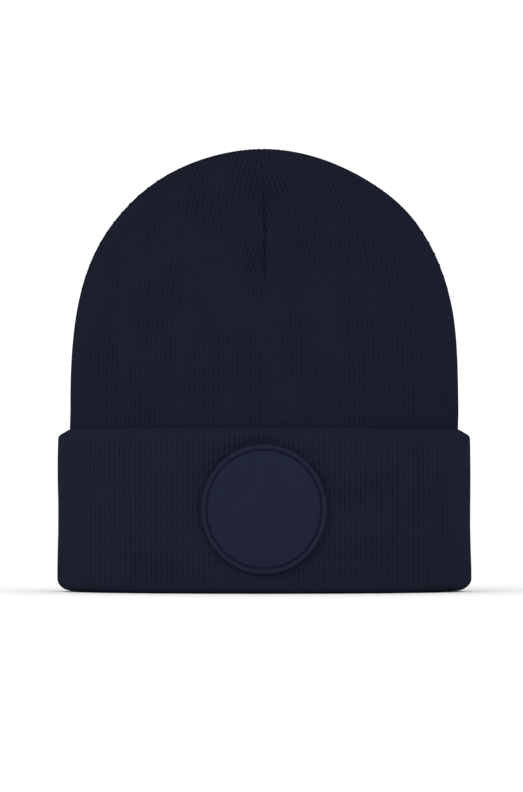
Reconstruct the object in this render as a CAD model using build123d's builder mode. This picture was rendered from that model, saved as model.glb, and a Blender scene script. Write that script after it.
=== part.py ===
"""Cuffed knit beanie, standing on its brim with the patch facing -Y (millimetres, +Z up).

The hat is one knitted tube, doubled into an outer shell and an inner lining. Its lower end
is turned up on the outside as a two-ply cuff. Both layers are closed at the top by a seam
from side to side and by a dart at the front and at the back. A round padded patch is sewn
to the middle of the cuff.
"""

import math
import os

from build123d import *

# Driving dimensions
crown_half_width = 95.0  # outside of the shell, just above the cuff
crown_half_depth = 66.5
crown_top = 217.0
knit = 2.5  # thickness of one knitted ply
air = 0.5  # gap between neighbouring plies
cuff_height = 79.0
brim_outer_radius = 6.5  # rounding of the fold at the bottom of the cuff
brim_inner_radius = 2.25
top_fold_radius = 2.0  # rounding of both edges of the fold at the top of the cuff
lining_drop = 6.0  # room between the two layers at the very top, for their seams

# Shape of the dome above dome_base: (z part) ** dome_rise + (width part) ** dome_fall = 1
dome_base = 81.0
dome_rise = 3.35
dome_fall = 1.79
dome_points = 12

# Seams
seam_width = 3.0
seam_height = 2.0  # at the top, running out to nothing at the ends
seam_clearance = 0.1
crown_seam_start = 143.0  # height of the crown seam's two ends
dart_start = 153.0  # height of the lower tip of each dart
tack_radius = 1.2

# Patch
patch_radius = 30.4  # half of the patch's width
patch_extra_height = 1.0  # what half of the patch's height has over that
patch_centre_height = 41.0
patch_clearance = 0.2
backing_radius = 30.0
backing_thickness = 0.8
patch_thickness = 1.9  # of the face and of the rim, on top of the backing
rim_width = 2.0
groove_width = 1.0
face_edge_radius = 1.2
rim_edge_radius = 0.7
stitch_radius = 0.35
stitch_clearance = 0.1
stitch_length = 1.7
stitch_count = 72

# Surfaces of the layers: half width, half depth and top of each dome
shell_outside = (crown_half_width, crown_half_depth, crown_top)


def inset(surface, distance, drop=None):
    """A surface that lies this far inside another one, and this far below it at the top."""
    half_width, half_depth, top = surface
    return (
        half_width - distance,
        half_depth - distance,
        top - (distance if drop is None else drop),
    )


shell_inside = inset(shell_outside, knit)
lining_outside = inset(shell_inside, air, drop=lining_drop)
lining_inside = inset(lining_outside, knit)

# Plies of the cuff, from the shell outwards
inner_ply_inside = inset(shell_outside, -air)
inner_ply_outside = inset(inner_ply_inside, -knit)
face_inside = inset(inner_ply_outside, -air)
face_outside = inset(face_inside, -knit)


def dome_curve_points(half_width, top):
    """Points of a dome's outline, from its widest place at dome_base up to the axis."""
    points = []
    for step in range(dome_points + 1):
        angle = math.radians(90.0 * step / dome_points)
        across = half_width * max(math.cos(angle), 0.0) ** (2.0 / dome_fall)
        up = (top - dome_base) * math.sin(angle) ** (2.0 / dome_rise)
        points.append((across, dome_base + up))
    points[-1] = (0.0, top)
    return points


def dome_solid(surface, bottom):
    """The whole space under one surface: a round dome on a straight wall, pressed to its depth."""
    half_width, half_depth, top = surface
    with BuildPart() as dome:
        with BuildSketch(Plane.XZ):
            with BuildLine():
                Spline(dome_curve_points(half_width, top), tangents=[(0, 1), (-1, 0)])
                Polyline((0, top), (0, bottom), (half_width, bottom), (half_width, dome_base))
            make_face()
        revolve(axis=Axis.Z)
        scale(by=(1, half_depth / half_width, 1))
    return dome.part


def knit_layer(outside, inside, bottom):
    """One knitted layer of the crown, closed at the top and open at the bottom."""
    with BuildPart() as layer:
        add(dome_solid(outside, bottom))
        add(dome_solid(inside, bottom), mode=Mode.SUBTRACT)
    return layer.part


def arch_points(half_span, top, start):
    """Points of an arch that follows a dome from side to side, above the height start."""
    rise = (start - dome_base) / (top - dome_base)
    foot = half_span * (1.0 - rise**dome_rise) ** (1.0 / dome_fall)
    right = [(x, z) for x, z in dome_curve_points(half_span, top) if z > start]
    left = [(-x, z) for x, z in reversed(right[:-1])]
    return [(foot, start), *right, *left, (-foot, start)]


def seam_ridge(plane, half_span, top, height, start):
    """A raised seam along an arch in a plane; a positive height stands above the arch."""
    arches = ((top + max(height, 0.0), Mode.ADD), (top + min(height, 0.0), Mode.SUBTRACT))
    with BuildPart() as ridge:
        with BuildSketch(plane):
            for arch_top, mode in arches:
                points = arch_points(half_span, arch_top, start)
                with BuildLine():
                    Spline(points)
                    Line(points[-1], points[0])
                make_face(mode=mode)
        extrude(amount=seam_width / 2, both=True)
    return ridge.part


def dart_ridge(half_span, top, height, side):
    """The half of a front-to-back ridge on one side (-1 front, +1 back), short of the crown seam."""
    reach = 2 * crown_half_depth
    middle = side * (seam_width / 2 + air + reach / 2)
    with BuildPart() as dart:
        add(seam_ridge(Plane.YZ, half_span, top, height, dart_start))
        with Locations((0, middle, crown_top / 2)):
            Box(2 * seam_width, reach, 2 * crown_top, mode=Mode.INTERSECT)
    return dart.part


def cuff_band(outside, inside, low, high):
    """A straight band between two cuff surfaces."""
    with BuildPart() as band:
        with BuildSketch(Plane.XY.offset(low)):
            Ellipse(outside[0], outside[1])
            Ellipse(inside[0], inside[1], mode=Mode.SUBTRACT)
        extrude(amount=high - low)
    return band.part


def patch_layer(low, high, outer_radius, inner_radius=0.0):
    """A disc or ring of the patch, between two distances from the cuff's face, curved with it.

    A radius is half of its width; half of its height is patch_extra_height more.
    """
    with BuildPart() as layer:
        add(cuff_band(inset(face_outside, -high), inset(face_outside, -low), 0.0, cuff_height))
        with BuildSketch(Plane.XZ):
            with Locations((0, patch_centre_height)):
                Ellipse(outer_radius, outer_radius + patch_extra_height)
                if inner_radius:
                    Ellipse(inner_radius, inner_radius + patch_extra_height, mode=Mode.SUBTRACT)
        extrude(amount=2 * crown_half_depth, mode=Mode.INTERSECT)
    return layer.part


def save(piece, name):
    """Name one finished piece and write it as its own STEP file."""
    piece.part.label = name
    export_step(piece.part, f"parts/{name}.step")


os.makedirs("parts", exist_ok=True)

# Outer and inner knitted layers. The lining stands on the brim fold, the shell on the foot
# of the cuff's inner ply.
lining_bottom = knit
shell_bottom = 2 * knit + air

with BuildPart() as crown_shell:
    add(knit_layer(shell_outside, shell_inside, shell_bottom))
save(crown_shell, "crown_shell")

with BuildPart() as crown_lining:
    add(knit_layer(lining_outside, lining_inside, lining_bottom))
save(crown_lining, "crown_lining")

# Hidden ply of the cuff: the shell's knit turned outwards at its foot and carried up
inner_ply_bottom = knit + air
inner_ply_top = cuff_height - knit

with BuildPart() as cuff_inner_ply:
    add(cuff_band(inner_ply_outside, inner_ply_inside, inner_ply_bottom, inner_ply_top))
    add(cuff_band(inner_ply_outside, shell_inside, inner_ply_bottom, shell_bottom))
save(cuff_inner_ply, "cuff_inner_ply")

# Visible ply of the cuff: the brim fold under all the plies, the face, and the fold at the top
with BuildPart() as cuff_face:
    add(cuff_band(face_outside, lining_inside, 0.0, knit))
    add(cuff_band(face_outside, face_inside, 0.0, cuff_height))
    add(cuff_band(face_outside, inner_ply_inside, inner_ply_top, cuff_height))
    brim_edges = cuff_face.edges().group_by(Axis.Z)[0].sort_by(SortBy.LENGTH)
    fillet(brim_edges[-1], brim_outer_radius)
    brim_edges = cuff_face.edges().group_by(Axis.Z)[0].sort_by(SortBy.LENGTH)
    fillet(brim_edges[0], brim_inner_radius)
    top_edges = cuff_face.edges().group_by(Axis.Z)[-1]
    fillet(top_edges, top_fold_radius)
save(cuff_face, "cuff_face")

# Overlocked seams, in the room between the two layers
seam_span = shell_inside[0] - seam_clearance
seam_depth = shell_inside[1] - seam_clearance
seam_top = shell_inside[2] - seam_clearance
lining_seam_span = lining_outside[0] + seam_clearance
lining_seam_depth = lining_outside[1] + seam_clearance
lining_seam_top = lining_outside[2] + seam_clearance

with BuildPart() as shell_crown_seam:
    add(seam_ridge(Plane.XZ, seam_span, seam_top, -seam_height, crown_seam_start))
save(shell_crown_seam, "shell_crown_seam")

with BuildPart() as lining_crown_seam:
    add(seam_ridge(Plane.XZ, lining_seam_span, lining_seam_top, seam_height, crown_seam_start))
save(lining_crown_seam, "lining_crown_seam")

for side, place in ((-1, "front"), (1, "back")):
    with BuildPart() as shell_dart_seam:
        add(dart_ridge(seam_depth, seam_top, -seam_height, side))
    save(shell_dart_seam, f"shell_{place}_dart_seam")

    with BuildPart() as lining_dart_seam:
        add(dart_ridge(lining_seam_depth, lining_seam_top, seam_height, side))
    save(lining_dart_seam, f"lining_{place}_dart_seam")

# Thread that ties the two crown seams together at the top
tack_low = lining_seam_top + seam_height + seam_clearance
tack_high = seam_top - seam_height - seam_clearance

with BuildPart() as crown_tack:
    with BuildSketch(Plane.XY.offset(tack_low)):
        Circle(tack_radius)
    extrude(amount=tack_high - tack_low)
save(crown_tack, "crown_tack")

# Patch: backing against the knit, then the padded face inside the raised rim
face_radius = patch_radius - rim_width - groove_width
backing_top = patch_clearance + backing_thickness
patch_front = backing_top + patch_thickness

with BuildPart() as patch_backing:
    add(patch_layer(patch_clearance, backing_top, backing_radius))
save(patch_backing, "patch_backing")

with BuildPart() as patch_face:
    add(patch_layer(backing_top, patch_front, face_radius))
    fillet(patch_face.faces().sort_by(Axis.Y)[0].edges(), face_edge_radius)
save(patch_face, "patch_face")

with BuildPart() as patch_rim:
    add(patch_layer(backing_top, patch_front, patch_radius, patch_radius - rim_width))
    fillet(patch_rim.faces().sort_by(Axis.Y)[0].edges(), rim_edge_radius)
save(patch_rim, "patch_rim")

# Ring of stitches in the groove, each along the groove's own direction on the curved cuff
stitch_ring_half_width = face_radius + groove_width / 2
stitch_ring_half_height = stitch_ring_half_width + patch_extra_height
stitch_line = inset(face_outside, -(backing_top + stitch_radius + stitch_clearance))

stitch_planes = []
for index in range(stitch_count):
    angle = 2 * math.pi * index / stitch_count
    x = stitch_ring_half_width * math.cos(angle)
    z = patch_centre_height + stitch_ring_half_height * math.sin(angle)
    bow = math.sqrt(1.0 - (x / stitch_line[0]) ** 2)
    slope = stitch_line[1] * x / (stitch_line[0] ** 2 * bow)
    sideways = -stitch_ring_half_width * math.sin(angle)
    along = Vector(sideways, slope * sideways, stitch_ring_half_height * math.cos(angle))
    stitch_planes.append(Plane(origin=(x, -stitch_line[1] * bow, z), z_dir=along))

with BuildPart() as patch_stitching:
    with Locations(*stitch_planes):
        Cylinder(stitch_radius, stitch_length)
save(patch_stitching, "patch_stitching")
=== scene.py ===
import math

import bmesh
import bpy
import numpy as np
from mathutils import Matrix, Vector


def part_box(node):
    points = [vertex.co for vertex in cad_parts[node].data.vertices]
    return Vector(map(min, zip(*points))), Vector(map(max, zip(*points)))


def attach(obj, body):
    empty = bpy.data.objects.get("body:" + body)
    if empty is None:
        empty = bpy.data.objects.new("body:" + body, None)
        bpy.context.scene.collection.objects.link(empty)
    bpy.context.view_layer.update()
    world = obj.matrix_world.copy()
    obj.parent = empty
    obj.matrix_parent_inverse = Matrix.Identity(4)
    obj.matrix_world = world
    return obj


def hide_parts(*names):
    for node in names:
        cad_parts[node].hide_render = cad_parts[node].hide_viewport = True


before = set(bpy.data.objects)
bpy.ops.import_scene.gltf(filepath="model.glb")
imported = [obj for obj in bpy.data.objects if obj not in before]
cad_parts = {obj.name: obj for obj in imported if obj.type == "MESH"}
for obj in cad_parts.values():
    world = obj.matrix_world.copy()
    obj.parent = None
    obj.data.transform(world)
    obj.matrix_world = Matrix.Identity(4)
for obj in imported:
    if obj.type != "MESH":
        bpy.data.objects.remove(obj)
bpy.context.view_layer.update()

# A cuffed rib-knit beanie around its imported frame. Every piece is built in metres in the
# frame's own coordinates: +Z up, the patch towards -Y, the brim on the floor.

MM = 0.001

# ----------------------------------------
# Sizes, from the frame
# ----------------------------------------

shell_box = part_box("crown_shell")
lining_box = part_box("crown_lining")
cuff_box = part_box("cuff_face")
rim_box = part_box("patch_rim")

SHELL_X, SHELL_Y, SHELL_TOP = shell_box[1]
LINING_X, LINING_Y, LINING_TOP = lining_box[1]
CUFF_X, CUFF_Y, CUFF_TOP = cuff_box[1]
PATCH_Z = (rim_box[0].z + rim_box[1].z) / 2
PATCH_RADIUS = (rim_box[1].x - rim_box[0].x) / 2
PATCH_EXTRA = (rim_box[1].z - rim_box[0].z) / 2 - PATCH_RADIUS  # half of its height is this much more

# The dome's outline, as in the frame: (z part) ** DOME_RISE + (width part) ** DOME_FALL = 1
DOME_BASE = 81 * MM
DOME_RISE = 3.35
DOME_FALL = 1.79

# Knit
RIBS = 46  # ribs in a quarter of the hat
RIB_SPREAD = 0.28  # ribs are this share closer than the mean at the front, and wider at the side
COURSE = 1.55 * MM  # height of one row of stitches
RIB_DEPTH = 0.65 * MM
CROWN_LEVEL = 0.9  # the part of a rib's height that is under the crown's smooth surface
CUFF_LEVEL = 0.7  # the same on the cuff
PLY = 2.2 * MM
FLOOR_GAP = 0.05 * MM  # between the brim and the floor

# Seams of the crown
SEAM_START = 143 * MM  # height of the crown seam's two ends
SEAM_FORWARD = 2.0 * MM  # the crown seam runs this far in front of the hat's widest line
SEAM_DEPTH = 1.0 * MM
SEAM_WIDTH = 1.7 * MM
DART_START = 153 * MM  # height of the dart's tip
DART_LEAN = math.tan(math.radians(17.5))  # slope of the ribs that run into the dart
LEAN_START = 116 * MM  # height where the ribs begin to lean towards the dart
DART_DEPTH = 1.2 * MM
DART_WIDTH = 0.7 * MM
SEAM_ALLOWANCE = 3 * MM  # width of the overlocked edges inside
OVERLOCK = 2 * MM  # their height at the top of the hat
STITCH_STEP = 6 * MM  # between the stitches that show along the crown seam

# Steps of the curves
OVAL_STEPS = 2000
DOME_STEPS = 6000
RIB_STEPS = 1200
ROUND_STEPS = 256
LEAST_SHARE = 1e-5  # stands in for no width at all at the dome's top


# ----------------------------------------
# Helpers for shapes
# ----------------------------------------

def smooth_step(low, high, value):
    """0 below low, 1 above high, and smooth between them."""
    t = np.clip((value - low) / (high - low), 0.0, 1.0)
    return t * t * (3.0 - 2.0 * t)


def near(distance, width, power=2.0):
    """1 at no distance, falling smoothly to almost 0 at twice the width."""
    return np.exp(-((np.abs(distance) / width) ** power))


def ripples(points, wavelength, seed):
    """Smooth random waves through space, mostly between -1 and 1."""
    waves = 7
    rng = np.random.default_rng(seed)
    total = np.zeros(points.shape[:-1])
    for _ in range(waves):
        direction = rng.normal(size=3)
        direction /= np.linalg.norm(direction)
        pitch = wavelength * rng.uniform(0.7, 1.4)
        total += np.sin(points @ direction * (2 * math.pi / pitch) + rng.uniform(0, 2 * math.pi))
    return total / math.sqrt(waves)


def unit(vectors):
    """The same vectors, one long."""
    return vectors / np.maximum(np.linalg.norm(vectors, axis=-1, keepdims=True), 1e-12)


class Oval:
    """A quarter of an ellipse, measured along its own length from the front to the side."""

    def __init__(self, half_width, half_depth):
        self.angles = np.linspace(0.0, math.pi / 2, OVAL_STEPS)
        across = half_width * np.sin(self.angles)
        forward = half_depth * np.cos(self.angles)
        steps = np.hypot(np.diff(across), np.diff(forward))
        self.lengths = np.concatenate(([0.0], np.cumsum(steps)))
        self.quarter = self.lengths[-1]

    def angle(self, length):
        """The ellipse's parameter at a length from the front, negative to the left."""
        return np.sign(length) * np.interp(np.abs(length), self.lengths, self.angles)


class Dome:
    """The side outline of a crown: distance run from the floor, height, and share of full width."""

    def __init__(self, half_width, top):
        angle = np.linspace(0.0, math.pi / 2, DOME_STEPS)
        height = DOME_BASE + (top - DOME_BASE) * np.sin(angle) ** (2 / DOME_RISE)
        share = np.maximum(np.cos(angle), 0.0) ** (2 / DOME_FALL)
        self.height = np.concatenate(([0.0], height))
        self.share = np.concatenate(([1.0], share))
        steps = np.hypot(np.diff(self.height), half_width * np.diff(self.share))
        self.run = np.concatenate(([0.0], np.cumsum(steps)))

    def run_at(self, height):
        """Distance run up to a height."""
        return np.interp(height, self.height, self.run)

    def share_at(self, run):
        """Share of the full width at a distance run."""
        return np.maximum(np.interp(run, self.run, self.share), LEAST_SHARE)

    def slope_at(self, run):
        """The outline's slope at a distance run: how fast it rises, and how fast its share shrinks."""
        rising = np.interp(run, self.run, np.gradient(self.height, self.run))
        shrinking = -np.interp(run, self.run, np.gradient(self.share, self.run))
        return rising, shrinking


def share_of_rib(rib):
    """Where a rib stands, as a share of the quarter's length from the front to the side."""
    linear = 1 + RIB_SPREAD
    inside = linear * linear - 4 * RIB_SPREAD * np.abs(rib) / RIBS
    return np.sign(rib) * (linear - np.sqrt(inside)) / (2 * RIB_SPREAD)


def rib_profile(rib):
    """Height of the knit across a rib, 0 in the valley between two ribs and about 1 on the rib."""
    flatness = 0.45  # the lower, the flatter the rib and the sharper the valley
    dent = 0.3  # depth of the line in the middle of the rib
    dent_width = 0.09
    phase = rib - np.floor(rib)
    ridge = np.abs(np.sin(math.pi * phase)) ** flatness
    return ridge - dent * near(phase - 0.5, dent_width)


def rib_split(sideways):
    """How strongly the painted shade line in the middle of a rib shows, at a share of the way to the
    side.
    """
    lost_at_side = 0.75
    return 1 - lost_at_side * smooth_step(0.55, 0.95, np.abs(sideways))


# ----------------------------------------
# Helpers for meshes
# ----------------------------------------

def grid_faces(columns, rows, start=0, closed_rows=False):
    """Quads of a grid of vertices stored column by column."""
    last = rows if closed_rows else rows - 1
    column, row = np.meshgrid(np.arange(columns - 1), np.arange(last), indexing="ij")
    low = start + column * rows + row
    up = start + column * rows + (row + 1) % rows
    return np.stack([low, low + rows, up + rows, up], axis=-1).reshape(-1, 4)


def make_piece(name, points, faces, uv=None, extra_faces=(), shades=None):
    """A smooth mesh object from points, quads and other faces, its normals outwards.

    Shades are numbers for each point, by name, that the piece's material reads.
    """
    mesh = bpy.data.meshes.new(name)
    mesh.from_pydata(points.tolist(), [], faces.tolist() + [list(face) for face in extra_faces])
    mesh.validate()
    if uv is not None:
        layer = mesh.uv_layers.new(name="knit")
        corners = np.empty(len(mesh.loops), dtype=np.int32)
        mesh.loops.foreach_get("vertex_index", corners)
        layer.data.foreach_set("uv", uv[corners].astype(np.float32).ravel())
    for shade, values in (shades or {}).items():
        layer = mesh.attributes.new(shade, "FLOAT", "POINT")
        layer.data.foreach_set("value", values.astype(np.float32).ravel())
    work = bmesh.new()
    work.from_mesh(mesh)
    bmesh.ops.recalc_face_normals(work, faces=work.faces)
    work.to_mesh(mesh)
    work.free()
    mesh.polygons.foreach_set("use_smooth", np.ones(len(mesh.polygons), dtype=bool))
    mesh.update()
    piece = bpy.data.objects.new(name, mesh)
    bpy.context.scene.collection.objects.link(piece)
    return piece


def layer_piece(name, front, back, uv, shades):
    """A closed sheet from two grids of points, the two sides of one ply."""
    columns, rows = front.shape[:2]
    count = columns * rows
    sides = [grid_faces(columns, rows), grid_faces(columns, rows, count)[:, ::-1]]
    rim = []
    edges = [
        np.arange(columns) * rows,
        np.arange(columns) * rows + rows - 1,
        np.arange(rows),
        np.arange(rows) + (columns - 1) * rows,
    ]
    for edge in edges:
        rim.append(np.stack([edge[:-1], edge[1:], edge[1:] + count, edge[:-1] + count], axis=-1))
    points = np.concatenate([front.reshape(-1, 3), back.reshape(-1, 3)])
    both = {shade: np.concatenate([values.ravel()] * 2) for shade, values in shades.items()}
    return make_piece(name, points, np.concatenate(sides + rim), np.concatenate([uv, uv]), shades=both)


def rings_along(centre, first, second, around):
    """Rings of points round a line: at each centre, an ellipse from two half axes."""
    turn = (np.arange(around) * 2 * math.pi / around)[None, :, None]
    return centre[:, None] + first[:, None] * np.cos(turn) + second[:, None] * np.sin(turn)


def rods_piece(name, rods):
    """One piece of closed rods, each given by its rings of points."""
    points = np.concatenate([rings.reshape(-1, 3) for rings in rods])
    faces, ends = [], []
    start = 0
    for rings in rods:
        along, around = rings.shape[:2]
        end = start + along * around
        faces.append(grid_faces(along, around, start, closed_rows=True))
        ends += [range(start, start + around), range(end - around, end)]
        start = end
    return make_piece(name, points, np.concatenate(faces), extra_faces=ends)


def dress(piece, material, slot, *nodes):
    """Give a piece its material and its body, and hide the frame's nodes that it stands for. The slot
    is not used.
    """
    piece.data.materials.append(material)
    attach(piece, "root")
    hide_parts(*nodes)
    return piece


# ----------------------------------------
# Materials
# ----------------------------------------

class Shader:
    """A small wrapper for building a node material in few words."""

    def __init__(self, name):
        self.material = bpy.data.materials.new(name)
        self.material.use_nodes = True
        self.tree = self.material.node_tree
        self.surface = self.tree.nodes["Principled BSDF"]

    def node(self, kind, **settings):
        node = self.tree.nodes.new(kind)
        for key, value in settings.items():
            setattr(node, key, value)
        return node

    def link(self, value, socket):
        """Feed a socket from another socket, or set it to a plain value."""
        if isinstance(value, bpy.types.NodeSocket):
            self.tree.links.new(value, socket)
        else:
            socket.default_value = value

    def math(self, operation, first, second=0.0, third=0.0):
        node = self.node("ShaderNodeMath", operation=operation)
        for socket, value in zip(node.inputs, (first, second, third)):
            self.link(value, socket)
        return node.outputs[0]

    def scaled(self, value, factor, added):
        """A value times a factor, with something added."""
        return self.math("MULTIPLY_ADD", value, factor, added)

    def grain(self, noise, amount):
        """Noise spread around 0, over this range."""
        return self.scaled(noise, amount, -amount / 2)

    def ramp(self, value, low, high, out_low=0.0, out_high=1.0):
        """Smoothly map low..high to out_low..out_high."""
        node = self.node("ShaderNodeMapRange", interpolation_type="SMOOTHSTEP")
        for socket, given in zip(node.inputs, (value, low, high, out_low, out_high)):
            self.link(given, socket)
        return node.outputs[0]

    def mix(self, factor, first, second):
        """Mix two colours. A Mix node's sockets for colours are its inputs 6 and 7 and output 2."""
        node = self.node("ShaderNodeMix", data_type="RGBA")
        self.link(factor, node.inputs["Factor"])
        self.link(first, node.inputs[6])
        self.link(second, node.inputs[7])
        return node.outputs[2]

    def attribute(self, name):
        """One of the shades that the piece's points carry."""
        return self.node("ShaderNodeAttribute", attribute_name=name).outputs["Fac"]

    def noise(self, scale, detail=2.0):
        """Random grain, the finer the larger its scale. At 1000 its blobs are about 1 mm apart."""
        place = self.node("ShaderNodeTexCoord").outputs["Object"]
        node = self.node("ShaderNodeTexNoise")
        self.link(place, node.inputs["Vector"])
        node.inputs["Scale"].default_value = scale
        node.inputs["Detail"].default_value = detail
        return node.outputs["Fac"]

    def bump(self, height, distance):
        node = self.node("ShaderNodeBump")
        node.inputs["Strength"].default_value = 1.0
        node.inputs["Distance"].default_value = distance
        self.link(height, node.inputs["Height"])
        return node.outputs["Normal"]

    def finish(self, colour, roughness, normal, **constants):
        """Link the surface up, set its constants by name, and give the material."""
        self.link(colour, self.surface.inputs["Base Color"])
        self.link(roughness, self.surface.inputs["Roughness"])
        self.link(normal, self.surface.inputs["Normal"])
        for key, value in constants.items():
            self.surface.inputs[key.replace("_", " ")].default_value = value
        return self.material


def knit_material(name, colour, deep):
    """Rib knit: columns of V stitches, painted shade between the ribs and in the gaps between stitches,
    and a soft fuzz of fibres.

    The piece's "relief" says how clearly the ribs stand out and how strong their painted shade is, its
    "split" how clearly the painted shade line in the middle of each rib shows, and its fold shade
    where painted shade darkens the creases of seams and folds.
    """
    shader = Shader(name)
    uv = shader.node("ShaderNodeUVMap", uv_map="knit").outputs[0]
    parts = shader.node("ShaderNodeSeparateXYZ")
    shader.link(uv, parts.inputs[0])
    rib, course = parts.outputs[0], parts.outputs[1]
    relief = shader.attribute("relief")
    painted_fold_shade = shader.attribute("painted_fold_shade")
    split = shader.attribute("split")

    # A leg is one half of a rib, 0 in the rib's middle and 1 in the valley beside it. Two legs
    # make the V of a stitch, with a gap to the next V.
    leg_rise = 0.6  # in rows of stitches
    leg = shader.math("ABSOLUTE", shader.scaled(shader.math("FRACT", rib), 2.0, -1.0))
    slant = shader.scaled(leg, -leg_rise, course)
    stitch = shader.math("ABSOLUTE", shader.math("SINE", shader.math("MULTIPLY", slant, math.pi)))
    gap = shader.ramp(stitch, 0.0, 0.6, 1.0, 0.0)

    # The yarn's twist shows as fine lines across each leg
    lines_across = 9.0
    lines_along = 19.0
    wound = shader.scaled(leg, lines_across, shader.math("MULTIPLY", slant, lines_along))
    twist = shader.math("SINE", wound)
    fibres = shader.noise(1900.0, detail=3.0)
    blotches = shader.noise(38.0)
    heather = shader.ramp(shader.noise(320.0), 0.3, 0.7)

    # Painted shade: dark lines in the valleys and in the dent in the middle of the ribs, stronger where
    # the ribs stand out
    valley_shade = 0.55
    valley_gap_shade = 0.4
    middle_shade = 0.62
    valley = shader.ramp(leg, 0.7, 1.0)
    valley = shader.math("MULTIPLY", valley, shader.scaled(gap, valley_gap_shade, valley_shade))
    middle = shader.math("MULTIPLY", shader.ramp(leg, 0.0, 0.28, middle_shade, 0.0), split)
    painted_shade_lines = shader.math("MULTIPLY", shader.math("MAXIMUM", valley, middle), relief)

    # The shade runs from the cloth's colour at 0 to its deep colour at 1: painted shade in the gaps
    # between stitches and in the lines, and random darker tone from the blotches and fibres
    line_shade = 0.9
    gap_shade = 0.22
    blotch_shade = 0.24
    fibre_shade = 1.0
    shade = shader.scaled(gap, gap_shade, shader.math("MULTIPLY", painted_shade_lines, line_shade))
    shade = shader.math("ADD", shade, shader.grain(blotches, blotch_shade))
    shade = shader.math("ADD", shade, shader.grain(fibres, fibre_shade))
    tinted = shader.mix(heather, tuple(colour * COOL), tuple(colour * WARM))
    cloth = shader.mix(shade, tinted, tuple(deep))

    # Heights beside that of a stitch
    twist_height = 0.12
    fibre_height = 0.7
    height = shader.scaled(twist, twist_height, stitch)
    height = shader.scaled(fibres, fibre_height, height)
    return shader.finish(
        # Painted shade darkens the creases of seams and folds
        shader.mix(painted_fold_shade, cloth, tuple(deep * PAINTED_FOLD_DARKNESS)),
        shader.ramp(fibres, 0.2, 0.8, 0.8, 0.95),
        shader.bump(height, 0.2 * MM),
        Sheen_Weight=0.012,
        Sheen_Roughness=0.5,
        Sheen_Tint=(0.6, 0.7, 1.0, 1.0),
        Specular_IOR_Level=0.0,
    )


def coated_material(name, colour, deep):
    """Smooth coated cloth: a fine pebble over a finer weave, and a faint mottling."""
    shader = Shader(name)
    pebble = shader.noise(1500.0)
    mottle = shader.noise(120.0, detail=3.0)
    weave = shader.noise(700.0, detail=1.0)
    return shader.finish(
        shader.mix(shader.ramp(mottle, 0.35, 0.65), colour, deep),
        shader.ramp(pebble, 0.3, 0.7, 0.5, 0.66),
        shader.bump(shader.scaled(weave, 0.5, pebble), 0.05 * MM),
        Specular_IOR_Level=0.03,
        Sheen_Weight=0.005,
        Sheen_Roughness=0.4,
    )


def fibre_material(name, colour, deep):
    """Matt fine fibres, as in sewing thread and in felt."""
    shader = Shader(name)
    strands = shader.noise(2600.0)
    return shader.finish(
        shader.mix(shader.ramp(strands, 0.35, 0.65), colour, deep),
        shader.ramp(strands, 0.2, 0.8, 0.55, 0.75),
        shader.bump(strands, 0.08 * MM),
        Sheen_Weight=0.003,
        Sheen_Roughness=0.4,
        Specular_IOR_Level=0.0,
    )


COOL = np.array([0.95, 1.02, 1.0, 1.0])  # the two tints of the knit's heather
WARM = np.array([1.05, 0.98, 1.0, 1.0])
# The darkness of the painted shade in the creases of seams and folds, beside the deep colour
PAINTED_FOLD_DARKNESS = np.array([0.25, 0.25, 0.25, 1.0])  # how dark a seam's fold is beside the deep colour
# The deep colours are the knit's painted shade in its valleys, gaps and creases, and the dark end of
# its random tone
SHELL_COLOUR = np.array([0.0096, 0.0117, 0.0213, 1.0])
SHELL_SHADE_AND_TONE = np.array([0.0050, 0.0063, 0.0118, 1.0])
CUFF_COLOUR = np.array([0.0110, 0.0134, 0.0252, 1.0])
CUFF_SHADE_AND_TONE = np.array([0.0054, 0.0068, 0.0132, 1.0])

SHELL_KNIT = knit_material("shell_knit", SHELL_COLOUR, SHELL_SHADE_AND_TONE)
CUFF_KNIT = knit_material("cuff_knit", CUFF_COLOUR, CUFF_SHADE_AND_TONE)
LINING_KNIT = knit_material("lining_knit", SHELL_COLOUR, SHELL_SHADE_AND_TONE)
COATED = coated_material("patch_cloth", (0.0091, 0.0119, 0.0265, 1), (0.0085, 0.0112, 0.0247, 1))
FELT = fibre_material("patch_felt", (0.0070, 0.0085, 0.0160, 1), (0.0040, 0.0050, 0.0100, 1))
PATCH_THREAD = fibre_material("patch_thread", (0.0087, 0.0113, 0.0249, 1), (0.0076, 0.0099, 0.0216, 1))
SEAM_THREAD = fibre_material("seam_thread", (0.0030, 0.0037, 0.0070, 1), (0.0015, 0.0019, 0.0036, 1))


# ----------------------------------------
# Crown: four panels of each layer, closed by the crown seam and the two darts
# ----------------------------------------

def rib_slope(along, height, edge):
    """Slope of the ribs towards the dart: as on a cone about the dart's tip, dying out below it."""
    around = np.arctan2(along, height - DART_START) / math.pi  # 0 up the dart, 1 below its tip
    rising = smooth_step(LEAN_START, DART_START, height)
    seamed = smooth_step(SEAM_START - 4 * MM, SEAM_START + 14 * MM, height)
    outer_ribs = 0.55  # share of the way to the side where the ribs begin to stay upright
    free = 1 - smooth_step(outer_ribs, 1.0, along / edge)
    return DART_LEAN * (1 - around) * rising * (seamed + (1 - seamed) * free)


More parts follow.
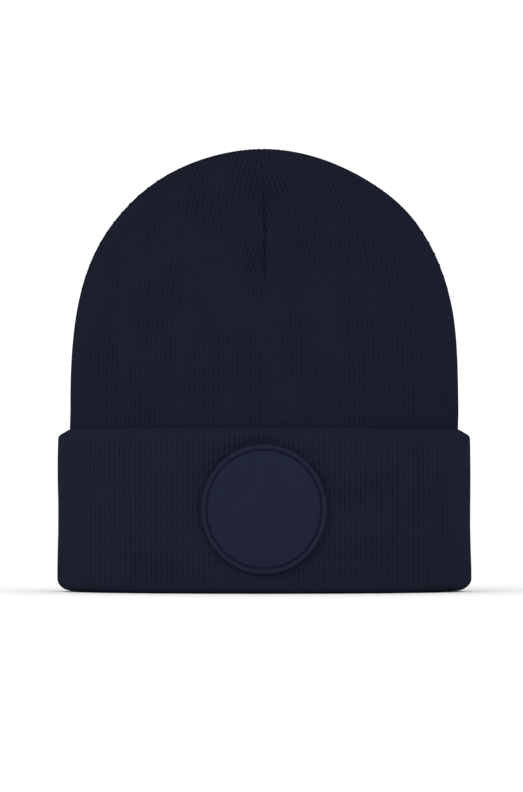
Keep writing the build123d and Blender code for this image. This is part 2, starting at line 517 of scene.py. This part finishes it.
def rib_paths(oval, dome, rib, bottom, rows):
    """Each rib's distance run and distance from the front, from the bottom to the seam it meets."""
    run = np.linspace(dome.run_at(bottom), dome.run[-1], RIB_STEPS)
    height = np.interp(run, dome.run, dome.height)
    share = dome.share_at(run)
    edge = oval.quarter * share
    tip = dome.run_at(DART_START)

    # Above the seam's start the width that the dome loses goes into the seam
    pressed = np.maximum(share, np.interp(SEAM_START, dome.height, dome.share))
    place = np.empty((len(rib), RIB_STEPS))
    place[:, 0] = share_of_rib(rib) * oval.quarter * pressed[0]
    for step in range(1, RIB_STEPS):
        before = place[:, step - 1]
        slope = rib_slope(before, height[step - 1], edge[step - 1])
        after = before * pressed[step] / pressed[step - 1] - slope * (height[step] - height[step - 1])
        if height[step] < SEAM_START:
            after = np.minimum(after, edge[step])
        if run[step] < tip:
            after = np.maximum(after, 0.0)
        place[:, step] = after

    # Each rib ends where it first crosses the crown seam or the dart
    not_yet = -1.0
    beyond_seam = np.where(height >= SEAM_START, place - edge, not_yet)
    beyond_dart = np.where(run >= tip, -place, not_yet)
    beyond = np.maximum(beyond_seam, beyond_dart)
    last = np.argmax(beyond >= 0, axis=1)
    columns = np.arange(len(rib))
    at_dart = beyond_dart[columns, last] >= beyond_seam[columns, last]
    over, under = beyond[columns, last], beyond[columns, last - 1]
    under = np.where(under <= not_yet, over - 1e-9, under)
    part = np.clip(over / np.maximum(over - under, 1e-12), 0.0, 1.0)
    end = run[last] - part * (run[last] - run[last - 1])

    # Rows crowd towards the seams
    crowding = 2.4
    step = np.linspace(1.0, 0.0, rows)
    back_from_end = (np.exp(crowding * step) - 1) / (math.exp(crowding) - 1)
    rows_run = end[:, None] - (end[:, None] - run[0]) * back_from_end[None, :]
    along = np.array([np.interp(rows_run[i], run, place[i]) for i in columns])
    limit = oval.quarter * dome.share_at(rows_run)
    along = np.clip(along, 0.0, limit)
    along[:, -1] = np.where(at_dart, 0.0, limit[:, -1])
    return rows_run, along


def crown_shape(half_width, half_depth, top, bottom, samples, rows):
    """Smooth surface of a quarter of a crown layer: its ribs, courses, points and normals.

    Samples are columns of points in a rib, and rows are points along it.
    """
    oval = Oval(half_width, half_depth)
    dome = Dome(half_width, top)
    rib = np.arange(RIBS * samples + 1) / samples
    run, along = rib_paths(oval, dome, rib, bottom, rows)
    height = np.interp(run, dome.run, dome.height)
    share = dome.share_at(run)
    angle = oval.angle(along / share)
    x = half_width * share * np.sin(angle)
    y = half_depth * share * np.cos(angle)
    out, up = dome.slope_at(run)
    normal = unit(np.stack([out * x / half_width**2 / share, out * y / half_depth**2 / share, up], -1))
    points = np.stack([x, y, height], -1)
    length = np.linalg.norm(np.diff(points, axis=1), axis=-1)
    course = np.concatenate([np.zeros((len(rib), 1)), np.cumsum(length, axis=1)], axis=1) / COURSE
    return rib, course, points, normal


def seam_forward(height):
    """How far the crown seam stands in front of the middle, at a height."""
    return SEAM_FORWARD * smooth_step(SEAM_START - 12 * MM, SEAM_START + 20 * MM, height)


def near_middle(y):
    """Share of the seam's shift that the cloth at a distance in front of the middle takes."""
    return near(y, 28 * MM)


def crown_leaning(height):
    """How far the crown leans to the right at a height."""
    right = 0.35 * MM * smooth_step(78 * MM, 90 * MM, height)
    left = 1.4 * MM * smooth_step(182 * MM, 212 * MM, height)
    return right - left


def crown_relief(points, rib, dart):
    """How clearly the ribs stand out, in height and in painted valley shade: more to the sides, towards
    the top and beside the dart.
    """
    base = 0.64
    more_at_top = 0.46
    more_at_side = 0.6
    more_at_dart = 0.3
    unevenness = 0.22
    x, height = points[..., 0], points[..., 2]
    relief = base + more_at_top * smooth_step(150 * MM, 205 * MM, height)
    relief = relief + more_at_side * (x / SHELL_X) ** 2
    relief = relief + more_at_dart * dart * near(x, 14 * MM)
    relief = relief * (1.0 + unevenness * ripples(points, wavelength=24 * MM, seed=5))

    # Less where the panel meets its neighbours, under the dart and at the side
    meeting = 0.35  # of a rib
    less_under_dart = 0.6
    less_at_side = 0.5
    relief = relief * (1 - less_under_dart * (1 - dart) * near(rib, meeting))
    relief = relief * (1 - less_at_side * near(RIBS - rib, meeting))
    return np.clip(relief, 0.1, 1.4)


def crown_panel(name, shape, side, facing, inward):
    """One quarter of a crown layer. Its columns follow the ribs, up to the seam that each meets.

    Side is 1 on the right and -1 on the left, and facing is -1 in front and 1 behind. An inward
    layer has its ribs towards the head.
    """
    rib, course, points, normal = shape
    mirror = np.array([side, facing, 1.0])
    points = points * mirror
    normal = normal * mirror
    x, y, height = points[..., 0], points[..., 1], points[..., 2]
    rib = rib[:, None]
    profile = rib_profile(rib)

    # Valleys along the seams. The dart is deepest between the ribs that end at it, and dies out
    # towards the top.
    crown_seam = smooth_step(SEAM_START - 6 * MM, SEAM_START + 16 * MM, height)
    dart = smooth_step(DART_START - 2 * MM, DART_START + 3 * MM, height)
    fading = 1 - smooth_step(DART_START + 22 * MM, SHELL_TOP - 8 * MM, height)
    left_at_top = 0.12
    hollow_depth = 0.4 * MM
    teeth = 1.0 - 0.5 * profile
    crease = dart * (left_at_top + (1 - left_at_top) * fading) * near(x, DART_WIDTH, power=1.3) * teeth
    hollow = hollow_depth * dart * fading * near(x, 5 * MM)
    valley = SEAM_DEPTH * crown_seam * near(y, SEAM_WIDTH)
    sunk = np.maximum(valley, DART_DEPTH * crease + hollow)

    # The ribs die out in the valleys, and get lower on their way to the crown seam
    pinch_width = SEAM_WIDTH / 1.6
    lost_at_dart = 0.6
    lost_at_seam = 0.6
    kept = np.minimum(
        1 - crown_seam * near(y, pinch_width),
        1 - lost_at_dart * dart * fading * near(x, DART_WIDTH),
    )
    kept = kept * (1 - lost_at_seam * crown_seam * near(y, 12 * MM))
    bulge = 0.25 * MM
    soft = bulge * ripples(points, wavelength=60 * MM, seed=3)
    relief = crown_relief(points, rib, dart)
    ribs = RIB_DEPTH * relief * kept * (profile - CROWN_LEVEL)
    if inward:
        front = points + normal * (soft - PLY - ribs)[..., None]
        back = points + normal * soft[..., None]
    else:
        front = points + normal * (soft + ribs - sunk)[..., None]
        back = points + normal * (soft - PLY)[..., None]
    for surface in (front, back):
        surface[..., 0] += crown_leaning(height)
        surface[..., 1] -= seam_forward(height) * near_middle(surface[..., 1])
    uv = np.stack([np.broadcast_to(rib, course.shape), course], -1).reshape(-1, 2)
    # Painted shade in the dart's crease and along the crown seam
    crease_shade = 0.52
    seam_shade = 0.4
    shade_width = SEAM_WIDTH / 1.8
    painted_fold_shade = crease_shade * crease + seam_shade * crown_seam * near(y, shade_width)
    shades = {"relief": relief, "painted_fold_shade": np.clip(painted_fold_shade, 0, 1), "split": rib_split(x / SHELL_X)}
    return layer_piece(name, front, back, uv, shades)


QUARTERS = (
    ("front_right", 1, -1),
    ("front_left", -1, -1),
    ("back_right", 1, 1),
    ("back_left", -1, 1),
)
SHELL_BOTTOM = shell_box[0].z
LINING_BOTTOM = 9 * MM  # above the part of the lining that the brim's fold stands for

shell_shape = crown_shape(SHELL_X, SHELL_Y, SHELL_TOP, SHELL_BOTTOM, samples=10, rows=90)
lining_shape = crown_shape(LINING_X, LINING_Y, LINING_TOP, LINING_BOTTOM, samples=4, rows=50)

for place, side, facing in QUARTERS:
    for layer, shape, material, slot, inward in (
        ("crown_shell", shell_shape, SHELL_KNIT, "shell_knit", False),
        ("crown_lining", lining_shape, LINING_KNIT, "lining_knit", True),
    ):
        panel = crown_panel(f"{layer}_{place}", shape, side, facing, inward)
        dress(panel, material, slot, layer)


# ----------------------------------------
# Cuff: a turned-up band, knitted in one with the folds at its top and at the brim
# ----------------------------------------

def arc(centre, radius_out, radius_up, start, end, count):
    """Points of an elliptical arc in a section, between two angles in degrees."""
    angles = np.radians(np.linspace(start, end, count))
    out = centre[0] + radius_out * np.cos(angles)
    up = centre[1] + radius_up * np.sin(angles)
    return np.stack([out, up], -1)


def straight(start, end, count):
    """Points of a straight run in a section, without its two ends."""
    return np.linspace(start, end, count + 2)[1:-1]


def beside_patch(x, z):
    """Distance outside the patch's edge, negative under the patch."""
    reach = np.hypot(x / PATCH_RADIUS, (z - PATCH_Z) / (PATCH_RADIUS + PATCH_EXTRA))
    return (reach - 1) * PATCH_RADIUS


def cuff_relief(smooth, strength, beside):
    """How clearly the ribs stand out, in height and in painted valley shade: more to the sides, and
    above the patch.
    """
    base = 0.85
    more_at_side = 0.6
    more_at_patch = 0.35
    unevenness = 0.2
    relief = strength * (base + more_at_side * (smooth[..., 0] / CUFF_X) ** 2)
    relief = relief * (1.0 + unevenness * ripples(smooth, wavelength=22 * MM, seed=6))
    relief = relief * (1.0 + more_at_patch * near(beside, 7 * MM) * (smooth[..., 2] > PATCH_Z))
    return np.clip(relief, 0.0, 1.3)


def cuff_band(name, section, strength, samples, facing):
    """Half of a band of the cuff, from the left side to the right, with a closed section.

    A section point is (distance out from the cuff's face, height). Strength is how clearly the
    ribs stand out at each point of the section, and samples are columns of points in a rib.
    """
    oval = Oval(CUFF_X, CUFF_Y)
    rib = np.arange(-RIBS * samples, RIBS * samples + 1) / samples
    angle = oval.angle(share_of_rib(rib) * oval.quarter)
    foot = np.stack([CUFF_X * np.sin(angle), facing * CUFF_Y * np.cos(angle)], -1)
    out = unit(np.stack([CUFF_Y * np.sin(angle), facing * CUFF_X * np.cos(angle)], -1))
    ahead = unit(np.roll(section, -1, axis=0) - np.roll(section, 1, axis=0))
    away = np.stack([ahead[:, 1], -ahead[:, 0]], -1)

    distance, height = (np.tile(column, (len(rib), 1)) for column in section.T)
    smooth = np.concatenate([foot[:, None] + out[:, None] * distance[..., None], height[..., None]], -1)
    x = smooth[..., 0]
    far_away = 1.0
    beside = np.full(height.shape, far_away)
    if facing < 0:
        beside = np.maximum(beside_patch(x, height), 0)
    relief = cuff_relief(smooth, strength, beside)
    ribs = relief * RIB_DEPTH * (rib_profile(rib)[:, None] - CUFF_LEVEL)
    bulge = 0.4 * MM
    soft = bulge * ripples(smooth, wavelength=48 * MM, seed=11) * np.minimum(strength * 2, 1.0)
    distance = distance + (ribs + soft) * away[:, 0]
    height = height + ribs * away[:, 1]

    # The fold at the top bows up towards the middle. The brim lifts a little at the sides, and
    # flattens where it rests in the middle.
    top_bow = 1.6 * MM
    side_lift = 0.7 * MM
    squash = 0.45
    middle = 1 - (x / CUFF_X) ** 2
    height = height + top_bow * middle * smooth_step(58 * MM, 76 * MM, height)
    height = height + side_lift * (1 - middle) ** 2 * (1 - smooth_step(0, 20 * MM, height))
    height = height * (1 - squash * middle * (1 - smooth_step(3 * MM, 16 * MM, height)))
    height = np.maximum(height, FLOOR_GAP)

    # The cloth dips around the patch, and the fold at the top waves in and out
    patch_dip = 0.5 * MM
    wave_depth = 0.4 * MM
    wave_count = 8  # from the middle to the side
    waves = np.sin(wave_count * math.pi * x / CUFF_X) ** 2
    distance = distance - patch_dip * near(beside, 3 * MM) * (strength > 0)
    distance = distance - wave_depth * waves * (height > CUFF_TOP - 6 * MM)
    flat = foot[:, None] + out[:, None] * distance[..., None]
    points = np.concatenate([flat, height[..., None]], -1)

    steps = np.linalg.norm(np.diff(section, axis=0), axis=1)
    course = np.concatenate(([0.0], np.cumsum(steps))) / COURSE
    uv = np.stack(np.meshgrid(rib, course, indexing="ij"), -1).reshape(-1, 2)
    columns, rows = points.shape[:2]
    faces = grid_faces(columns, rows, closed_rows=True)
    ends = (range(rows), range((columns - 1) * rows, columns * rows))
    # Painted shade along the fold under the brim
    brim_shade = 0.45
    painted_fold_shade = np.broadcast_to(brim_shade * near(section[:, 1], 1.2 * MM), relief.shape)
    shades = {"relief": relief, "painted_fold_shade": painted_fold_shade, "split": rib_split(x / CUFF_X)}
    return make_piece(name, points.reshape(-1, 3), faces, uv, ends, shades)


def cuff_face_section():
    """Outline of the visible ply: up the inside of the brim, under it, up the face and over."""
    brim_in = -11.5 * MM
    brim_top = 9 * MM
    inner_radius = 2.5 * MM
    outer_radius = 6.5 * MM
    outer_rise = 5.6 * MM
    corner = 2.4 * MM  # rounding between the face and the sloping top
    lip = 1.0 * MM  # rounding of the fold against the crown
    slope = 59  # degrees between the sloping top's normal and the level
    normal = np.array([math.cos(math.radians(slope)), math.sin(math.radians(slope))])
    fold_width = 3.6 * MM
    fold_rise = fold_width / math.tan(math.radians(slope))
    corner_height = CUFF_TOP - corner * normal[1] - fold_rise - lip * (1 - normal[1])
    slope_foot = np.array([-corner, corner_height]) + corner * normal
    slope_head = slope_foot + np.array([-fold_width, fold_rise])
    lip_centre = slope_head - lip * normal
    visible = [
        np.array([[brim_in, brim_top]]),
        straight((brim_in, brim_top), (brim_in, inner_radius), 2),
        arc((brim_in + inner_radius, inner_radius), inner_radius, inner_radius, 180, 270, 6),
        arc((-outer_radius, outer_rise), outer_radius, outer_rise, 270, 360, 12),
        straight((0, outer_rise), (0, corner_height), 44),
        arc((-corner, corner_height), corner, corner, 0, slope, 6),
        straight(slope_foot, slope_head, 4),
        arc(lip_centre, lip, lip, slope, 180, 7),
        np.array([[lip_centre[0] - lip, CUFF_TOP - 4.8 * MM]]),
    ]
    hidden = np.array([
        (lip_centre[0] - 0.4 * MM, CUFF_TOP - 5.0 * MM),
        (-4.4 * MM, CUFF_TOP - 4.2 * MM),
        (-2.4 * MM, CUFF_TOP - 5.5 * MM),
        (-PLY, CUFF_TOP - 9 * MM),
        (-PLY, 40 * MM),
        (-PLY, brim_top),
        (-3.6 * MM, 4.5 * MM),
        (-7.0 * MM, 2.2 * MM),
        (-9.2 * MM, 3.2 * MM),
        (brim_in + PLY, brim_top),
    ])
    shown = np.concatenate(visible)
    section = np.concatenate([shown, hidden])
    rising = section[:, 1]
    lost_at_top = 0.35
    lost_at_brim = 0.6
    strength = 1 - lost_at_top * smooth_step(CUFF_TOP - 7 * MM, CUFF_TOP - 3 * MM, rising)
    strength *= 1 - lost_at_brim * (1 - smooth_step(1 * MM, 10 * MM, rising))
    strength[len(shown):] = 0.0
    return section, strength


def inner_ply_section():
    """Outline of the hidden ply: a foot under the shell, and a wall behind the cuff's face."""
    foot_end = -8.2 * MM
    foot_bottom = 3.2 * MM
    foot_top = foot_bottom + PLY
    wall_out = -3.0 * MM
    wall_in = wall_out - PLY
    wall_top = 72 * MM
    section = np.array([
        (foot_end, foot_bottom),
        (-3.2 * MM, foot_bottom),
        (wall_out, 20 * MM),
        (wall_out, 40 * MM),
        (wall_out, 60 * MM),
        (-3.6 * MM, wall_top),
        (wall_in, wall_top),
        (wall_in, 40 * MM),
        (wall_in, foot_top),
        (foot_end, foot_top),
    ])
    hardly_ribbed = 0.1
    return section, np.full(len(section), hardly_ribbed)


for place, facing in (("front", -1), ("back", 1)):
    for layer, (section, strength), samples, material, slot in (
        ("cuff_face", cuff_face_section(), 10, CUFF_KNIT, "cuff_knit"),
        ("cuff_inner_ply", inner_ply_section(), 4, SHELL_KNIT, "shell_knit"),
    ):
        band = cuff_band(f"{layer}_{place}", section, strength, samples, facing)
        dress(band, material, slot, layer)


# ----------------------------------------
# Patch
# ----------------------------------------

def on_cuff(x, z, height):
    """Points in front of the cuff's face, at a height above it, curved as it is."""
    wide = CUFF_X + height
    deep = CUFF_Y + height
    y = -deep * np.sqrt(1 - (x / wide) ** 2)
    return np.stack([x, y, z], -1)


def around_patch(radius, angle, height):
    """Points at a radius of the patch's oval, at an angle from its top and a height above the cuff."""
    x = radius * np.sin(angle)
    z = PATCH_Z + (radius + PATCH_EXTRA * radius / PATCH_RADIUS) * np.cos(angle)
    return on_cuff(x, z, height)


def round_piece(outline, around, roll=0.0):
    """Points and quads of a round piece from its section: rows of (radius, height above the cuff).

    Roll lowers the piece's edge by this much at its lower right, and by nothing at its upper left.
    """
    angle = (np.arange(around) * 2 * math.pi / around)[:, None]
    radius, height = outline[:, 0], outline[:, 1]
    near_edge = near(radius.max() - radius, 2.2 * MM)
    lowered = roll * (1 - np.cos(angle + math.pi / 4)) / 2 * near_edge[None, :]
    flat = around_patch(radius[None, :], angle, height[None, :] - lowered).reshape(-1, 3)
    rows = len(outline)
    column, row = np.meshgrid(np.arange(around), np.arange(rows - 1), indexing="ij")
    here = column * rows + row
    beside = (column + 1) % around * rows + row
    faces = np.stack([here, beside, beside + 1, here + 1], -1).reshape(-1, 4)
    return flat, faces, rows


def disc_piece(name, outline, around, roll=0.0):
    """A round piece that closes on its own axis at both ends of its outline."""
    flat, faces, rows = round_piece(outline, around, roll)
    starts = [column * rows for column in range(around)]
    ends = [column * rows + rows - 1 for column in range(around)]
    return make_piece(name, flat, faces, extra_faces=(starts, ends[::-1]))


def ring_piece(name, outline, around):
    """A round piece with a closed section."""
    flat, faces, rows = round_piece(outline, around)
    column = np.arange(around)
    last = column * rows + rows - 1
    first = column * rows
    next_column = (column + 1) % around
    closing = np.stack([last, next_column * rows + rows - 1, next_column * rows, first], -1)
    return make_piece(name, flat, np.concatenate([faces, closing]))


CLOTH_DIP = -0.5 * MM  # how far the backing reaches into the dip in the cuff
BACKING_TOP = 1.0 * MM
PATCH_FRONT = 2.9 * MM
RIM_WIDTH = 2.2 * MM
GROOVE_WIDTH = 0.64 * MM
GROOVE = PATCH_RADIUS - RIM_WIDTH - GROOVE_WIDTH / 2
AXIS = 0.4 * MM  # radius of the small closing face in the middle of a disc


def patch_face_outline():
    """Section of the padded face: gently crowned, with a narrow rolled edge."""
    edge = 0.7 * MM
    crown = 0.35 * MM
    radius = GROOVE - GROOVE_WIDTH / 2
    top = PATCH_FRONT - 0.15 * MM
    across = np.linspace(AXIS, radius - edge, 26)[:-1]
    rising = top + crown * (1 - (across / (radius - edge)) ** 2)
    rolled = arc((radius - edge, top - edge), edge, edge, 90, 0, 8)
    back = [(radius, BACKING_TOP), (AXIS, BACKING_TOP)]
    return np.concatenate([np.stack([across, rising], -1), rolled, back])


def patch_rim_outline():
    """Section of the raised rim: a flat band with rounded edges."""
    inner = PATCH_RADIUS - RIM_WIDTH
    rounding = 0.6 * MM
    shoulder = PATCH_FRONT - rounding
    foot = BACKING_TOP - 0.2 * MM
    inside = arc((inner + rounding, shoulder), rounding, rounding, 180, 90, 6)
    outside = arc((PATCH_RADIUS - rounding, shoulder), rounding, rounding, 90, -20, 8)
    return np.concatenate([inside, outside, [(PATCH_RADIUS - 0.3 * MM, foot), (inner, foot)]])


def patch_backing_outline():
    """Section of the backing, a thin disc behind the face and the rim."""
    top = BACKING_TOP - 0.05 * MM
    return np.array([
        (AXIS, top),
        (PATCH_RADIUS - 0.7 * MM, top),
        (PATCH_RADIUS - 0.4 * MM, 0.4 * MM),
        (PATCH_RADIUS - 0.5 * MM, CLOTH_DIP),
        (AXIS, CLOTH_DIP),
    ])


def stitch_ring(name, count):
    """A ring of short plump stitches lying in the groove between the face and the rim."""
    half_length = 0.49  # of the way from one stitch to the next
    thread = 0.35 * MM  # half of its thickness
    depth = 0.72 * MM  # of the thread's middle under the patch's front
    end_dip = 0.06 * MM
    t = np.linspace(-1, 1, 12)
    turn = (np.arange(8) * 2 * math.pi / 8)[None, :]
    thickness = (thread * np.sqrt(np.maximum(1 - t**8, 0.65)))[:, None]
    rise = (PATCH_FRONT - depth - end_dip * t**4)[:, None]
    radius = GROOVE + thickness * np.cos(turn)
    lift = rise + thickness * np.sin(turn)
    stitches = []
    for index in range(count):
        angle = ((index + t * half_length) * 2 * math.pi / count)[:, None]
        stitches.append(around_patch(radius, angle, lift))
    return rods_piece(name, stitches)


face_piece = disc_piece("patch_pad", patch_face_outline(), ROUND_STEPS, roll=0.3 * MM)
dress(face_piece, COATED, "patch_face", "patch_face")
edge_piece = ring_piece("patch_edge", patch_rim_outline(), ROUND_STEPS)
dress(edge_piece, COATED, "patch_rim", "patch_rim")
back_piece = disc_piece("patch_back", patch_backing_outline(), ROUND_STEPS // 2)
dress(back_piece, FELT, "patch_backing", "patch_backing")
dress(stitch_ring("patch_stitches", count=72), PATCH_THREAD, "patch_thread", "patch_stitching")


# ----------------------------------------
# Seams: overlocked edges between the two layers, and the stitches that show on the crown seam
# ----------------------------------------

def overlock(name, span, tops, start, side):
    """An overlocked edge under one seam, between two arches of the same span and these two tops.

    Side 0 is the crown seam, from side to side; -1 and 1 are the front and the back dart.
    """
    loop_step = 1.9 * MM
    loop_size = 0.14  # share by which a loop stands out
    slimness = 2.3  # 2 would fill the whole seam allowance
    least_thickness = 0.3 * MM
    ring_step = 0.4 * MM
    outer, inner = Dome(span, tops[0]), Dome(span, tops[1])
    short = 0.0 if side == 0 else SEAM_ALLOWANCE / 2 + 0.5 * MM  # the darts stop at the crown seam
    reach = span * outer.share
    used = (outer.height >= start) & (reach >= short)
    middle = (outer.height + inner.height) / 2
    arch = np.stack([reach, middle, np.abs(outer.height - inner.height)], -1)[used]
    if side == 0:
        arch = np.concatenate([arch, arch[-2::-1] * np.array([-1, 1, 1])])
    steps = np.hypot(np.diff(arch[:, 0]), np.diff(arch[:, 1]))
    run = np.concatenate(([0.0], np.cumsum(steps)))
    sample = np.linspace(0, run[-1], int(run[-1] / ring_step))
    reach, height, thickness = (np.interp(sample, run, column) for column in arch.T)
    ahead = unit(np.stack([np.gradient(reach), np.gradient(height)], -1))
    loops = 1 + loop_size * np.cos(2 * math.pi * sample / loop_step)
    zero = np.zeros(len(sample))
    centre = np.stack([reach, zero, height], -1)
    across = np.stack([zero, loops * SEAM_ALLOWANCE / slimness, zero], -1)
    through = np.stack([-ahead[:, 1], zero, ahead[:, 0]], -1)
    through *= (loops * np.maximum(thickness, least_thickness) / slimness)[:, None]
    rings = rings_along(centre, across, through, 12)
    if side != 0:
        rings = rings[..., [1, 0, 2]] * np.array([1, side, 1])
    return rods_piece(name, [rings])


def crown_stitches(name):
    """Stitches that show in front of the crown seam, one every STITCH_STEP."""
    reach = 5.5 * MM  # how far a stitch runs forward
    start_forward = 4.5 * MM  # from the seam to the stitch
    slant = 0.3  # how far it runs along the seam meanwhile, as a share
    thread = 0.65 * MM  # half of its thickness
    sink = 0.45 * MM  # the thread's middle under the surface
    end_dip = 0.5 * MM  # how much deeper its ends are
    least_share = 0.22  # of the full width, where the last stitch is before the top
    dome = Dome(SHELL_X, SHELL_TOP)
    t = np.linspace(0, 1, 9)
    from_middle = 2 * t - 1
    forward = SEAM_FORWARD + start_forward + reach * t
    unshifted = forward - SEAM_FORWARD * near_middle(forward)
    thickness = (thread * np.sqrt(np.maximum(1 - from_middle**6, 0.05)))[:, None]
    depth = (sink + end_dip * from_middle**4)[:, None]
    first = dome.run_at(SEAM_START) + STITCH_STEP
    last = np.interp(-least_share, -dome.share, dome.run)
    stitches = []
    for side in (-1, 1):
        for start in np.arange(first, last, STITCH_STEP):
            run = start + slant * reach * (t - 0.5)
            height = np.interp(run, dome.run, dome.height)
            share = dome.share_at(run)
            out, up = dome.slope_at(run)
            x = side * SHELL_X * share * np.sqrt(1 - (unshifted / SHELL_Y / share) ** 2)
            normal = unit(np.stack([side * out, 0 * t, up * SHELL_X], -1))
            middle = np.stack([x + crown_leaning(height), -forward, height], -1) - normal * depth
            ahead = unit(np.gradient(middle, axis=0))
            beside = unit(np.cross(ahead, normal))
            stitches.append(rings_along(middle, beside * thickness, normal * thickness, 8))
    return rods_piece(name, stitches)


def swing_tack(name):
    """Twisted strands between the two crown seams."""
    count = 4
    twist = 3.0  # radians, from the lower seam to the upper
    spread = 0.6 * MM  # from the tack's axis to a strand's middle
    thread = 0.45 * MM  # half of a strand's thickness
    low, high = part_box("crown_tack")
    height = np.linspace(low.z, high.z, 24)
    size = np.full((len(height), 1), thread)
    strands = []
    for index in range(count):
        angle = 2 * math.pi * index / count + twist * (height - low.z) / (high.z - low.z)
        centre = np.stack([spread * np.cos(angle), spread * np.sin(angle), height], -1)
        strands.append(rings_along(centre, size * [[1, 0, 0]], size * [[0, 1, 0]], 8))
    return rods_piece(name, strands)


SEAM_GAP = 0.1 * MM  # between a seam's edge and its layer
KNIT = SHELL_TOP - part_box("shell_crown_seam")[1].z - SEAM_GAP  # the frame's ply
shell_tops = (SHELL_TOP - KNIT - SEAM_GAP, SHELL_TOP - KNIT - SEAM_GAP - OVERLOCK)
lining_tops = (LINING_TOP + SEAM_GAP + OVERLOCK, LINING_TOP + SEAM_GAP)

for layer, inset, tops, sizes in (
    ("shell", -KNIT - SEAM_GAP, shell_tops, (SHELL_X, SHELL_Y)),
    ("lining", SEAM_GAP, lining_tops, (LINING_X, LINING_Y)),
):
    for seam, size, start, side in (
        ("crown_seam", sizes[0], SEAM_START, 0),
        ("front_dart_seam", sizes[1], DART_START, -1),
        ("back_dart_seam", sizes[1], DART_START, 1),
    ):
        edge = overlock(f"{layer}_{seam}_overlock", size + inset, tops, start, side)
        dress(edge, SEAM_THREAD, "seam_thread", f"{layer}_{seam}")

dress(crown_stitches("crown_seam_stitches"), SEAM_THREAD, "seam_thread", "shell_crown_seam")
dress(swing_tack("crown_swing_tack"), SEAM_THREAD, "seam_thread", "crown_tack")


# ----------------------------------------
# Stage, light and camera
# ----------------------------------------

def stage_floor():
    """A wide pale floor under the brim."""
    size = 6.0
    points = np.array([(-size, -size, 0), (size, -size, 0), (size, size, 0), (-size, size, 0)])
    floor = make_piece("floor", points, np.array([[0, 1, 2, 3]]))
    shader = Shader("pale_floor")
    grain = shader.noise(400.0)
    colour = shader.mix(grain, (0.93, 0.93, 0.93, 1), (0.91, 0.91, 0.91, 1))
    floor.data.materials.append(shader.finish(colour, 0.9, shader.bump(grain, 0.05 * MM)))


def soft_light(name, place, target, size, power):
    """A large soft area light."""
    data = bpy.data.lights.new(name, "AREA")
    data.shape = "DISK"
    data.size = size
    data.energy = power
    lamp = bpy.data.objects.new(name, data)
    lamp.location = place
    lamp.rotation_euler = (Vector(target) - Vector(place)).to_track_quat("-Z", "Y").to_euler()
    bpy.context.scene.collection.objects.link(lamp)


def white_room():
    """Even white light from everywhere."""
    world = bpy.data.worlds.new("white_room")
    world.use_nodes = True
    background = world.node_tree.nodes["Background"]
    background.inputs["Color"].default_value = (1, 1, 1, 1)
    background.inputs["Strength"].default_value = 1.08
    bpy.context.scene.world = world


def long_camera():
    """A long lens, level and square on to the patch, framed as the hat is in the picture."""
    lens = 500.0
    sensor = 36.0
    picture_height = 388 * MM  # what the picture's long side takes in at the hat's middle
    aim = Vector((-0.0012, 0.0, 0.0957))
    data = bpy.data.cameras.new("camera")
    data.lens = lens
    data.sensor_width = sensor
    data.clip_end = 50.0
    camera = bpy.data.objects.new("camera", data)
    camera.location = aim + Vector((0, -lens / sensor * picture_height, 0))
    camera.rotation_euler = (math.pi / 2, 0, 0)
    bpy.context.scene.collection.objects.link(camera)
    bpy.context.scene.camera = camera


stage_floor()
white_room()
middle = (0, 0, 0.11)
soft_light("key", (-1.5, -1.8, 0.9), middle, size=1.2, power=15)
soft_light("fill", (0.9, -2.1, 0.12), middle, size=1.4, power=18)
long_camera()
bpy.context.scene.view_settings.view_transform = "Standard"
bpy.context.scene.view_settings.look = "None"
